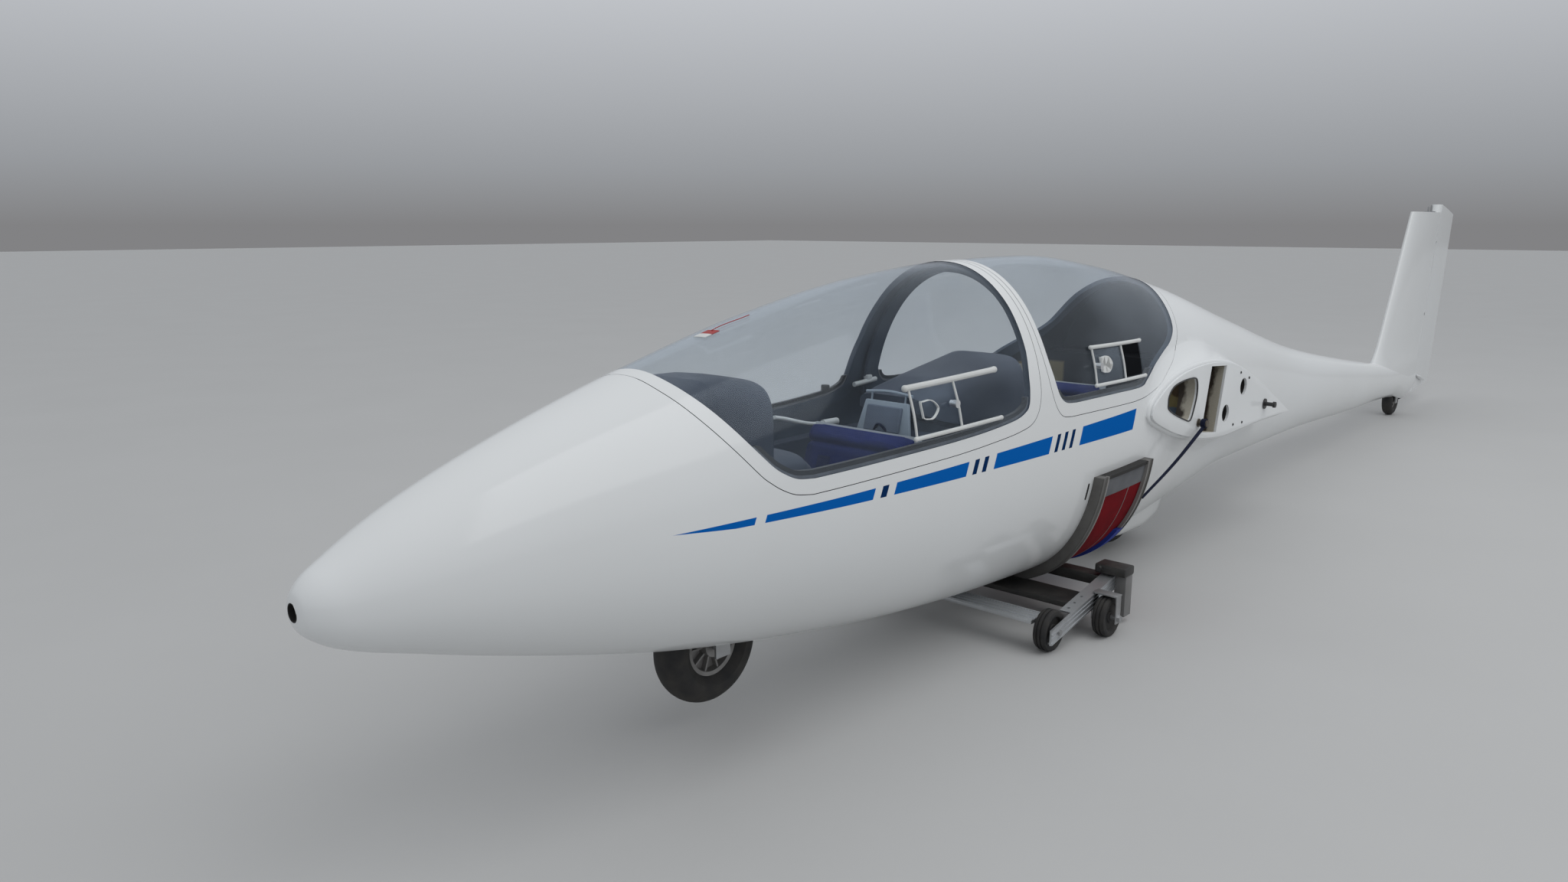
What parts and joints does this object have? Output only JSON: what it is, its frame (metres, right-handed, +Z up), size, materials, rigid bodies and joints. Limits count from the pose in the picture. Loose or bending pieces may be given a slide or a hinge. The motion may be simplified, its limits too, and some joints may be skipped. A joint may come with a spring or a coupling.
{
  "type": "two-seat sailplane fuselage on a dolly",
  "caption": "Two-seat glider fuselage without its wings and tailplane, with hinged canopies, rudder and wheels, standing on a belly dolly.",
  "frame": {"origin": "on the floor, midway between the nose tip and the rudder's rear edge", "axes": "+X towards the nose, +Y to the left, +Z up"},
  "size_m": [8.35, 0.972, 1.376],
  "materials": {
    "gelcoat": "glossy off-white",
    "steel": "zinc plated",
    "aluminium": "bare",
    "bare_laminate": "unpainted laminate",
    "dark_trim": "textured dark grey",
    "pale_trim": "painted pale grey",
    "clear_pane": "clear acrylic",
    "clear_trim": "clear acrylic rails",
    "navy_cloth": "woven",
    "black_plastic": "moulded",
    "tyre": "worn",
    "wheel_rim": "cast, dusty",
    "saddle_grey": "worn grey paint",
    "red_carpet": "short pile",
    "black_steel": "black paint",
    "caster": "solid rubber"
  },
  "bodies": {
    "airframe": {"nose_shell": "gelcoat", "cockpit_tub": "gelcoat", "centre_section": "gelcoat", "tail_boom": "gelcoat", "fin": "gelcoat", "tailplane_fitting": "steel", "wing_root_left": "gelcoat", "wing_root_right": "gelcoat", "spar_tunnel": "bare_laminate", "canopy_arch": "dark_trim", "front_instrument_pod": "dark_trim", "rear_instrument_pod": "dark_trim", "cockpit_floor": "pale_trim", "front_seat": "pale_trim", "rear_seat": "pale_trim", "front_cushion": "navy_cloth", "rear_cushion": "navy_cloth", "front_stick": "black_plastic", "rear_stick": "black_plastic", "front_pedals": "aluminium", "rear_pedals": "aluminium", "side_console_left": "dark_trim", "side_console_right": "dark_trim", "nose_fork": "steel", "main_axle": "steel", "tail_fork": "steel", "saddle_front_rim": "saddle_grey", "saddle_rear_rim": "saddle_grey", "saddle_lining": "red_carpet", "dolly_rail_left": "aluminium", "dolly_rail_right": "aluminium", "saddle_bracket_left": "black_steel", "saddle_bracket_right": "black_steel", "dolly_front_crossbar": "aluminium", "dolly_rear_crossbar": "black_steel"},
    "front_canopy": {"front_canopy_frame": "gelcoat", "front_canopy_glass": "clear_pane", "front_vent_window": "clear_trim"},
    "rear_canopy": {"rear_canopy_frame": "gelcoat", "rear_canopy_glass": "clear_pane", "rear_vent_window": "clear_trim"},
    "rudder_body": {"rudder": "gelcoat"},
    "nose_wheel": {"nose_tyre": "tyre", "nose_rim": "wheel_rim"},
    "main_wheel": {"main_tyre": "tyre", "main_rim": "wheel_rim"},
    "tail_wheel": {"tail_tyre": "tyre", "tail_hub": "wheel_rim"},
    "front_caster_left": {"dolly_front_wheel_left": "caster"},
    "front_caster_right": {"dolly_front_wheel_right": "caster"},
    "rear_caster_left": {"dolly_rear_wheel_left": "caster"},
    "rear_caster_right": {"dolly_rear_wheel_right": "caster"}
  },
  "joints": [
    {"name": "front_canopy_hinge", "type": "hinge", "parent": "airframe", "child": "front_canopy", "pos_m": [3.418, 0, 0.921], "axis": [0, 1, 0], "range_deg": [0, 65]},
    {"name": "rear_canopy_hinge", "type": "hinge", "parent": "airframe", "child": "rear_canopy", "pos_m": [0.975, 0, 1.04], "axis": [0, -1, 0], "range_deg": [0, 65]},
    {"name": "rudder_hinge", "type": "hinge", "parent": "airframe", "child": "rudder_body", "pos_m": [-3.402, 0, 0.23], "axis": [-0.237, 0, 0.9715], "range_deg": [-30, 30]},
    {"name": "nose_wheel_axle", "type": "hinge", "parent": "airframe", "child": "nose_wheel", "pos_m": [3.194, 0, 0.226], "axis": [0, 1, 0], "continuous": true},
    {"name": "main_wheel_axle", "type": "hinge", "parent": "airframe", "child": "main_wheel", "pos_m": [1.045, 0, 0.192], "axis": [0, 1, 0], "continuous": true},
    {"name": "tail_wheel_axle", "type": "hinge", "parent": "airframe", "child": "tail_wheel", "pos_m": [-3.015, 0, 0.1], "axis": [0, 1, 0], "continuous": true},
    {"name": "front_caster_axle_left", "type": "hinge", "parent": "airframe", "child": "front_caster_left", "pos_m": [2.16, 0.377, 0.0625], "axis": [0, 1, 0], "continuous": true},
    {"name": "front_caster_axle_right", "type": "hinge", "parent": "airframe", "child": "front_caster_right", "pos_m": [2.16, -0.377, 0.0625], "axis": [0, 1, 0], "continuous": true},
    {"name": "rear_caster_axle_left", "type": "hinge", "parent": "airframe", "child": "rear_caster_left", "pos_m": [1.935, 0.448, 0.0625], "axis": [0, 1, 0], "continuous": true},
    {"name": "rear_caster_axle_right", "type": "hinge", "parent": "airframe", "child": "rear_caster_right", "pos_m": [1.935, -0.448, 0.0625], "axis": [0, 1, 0], "continuous": true}
  ]
}
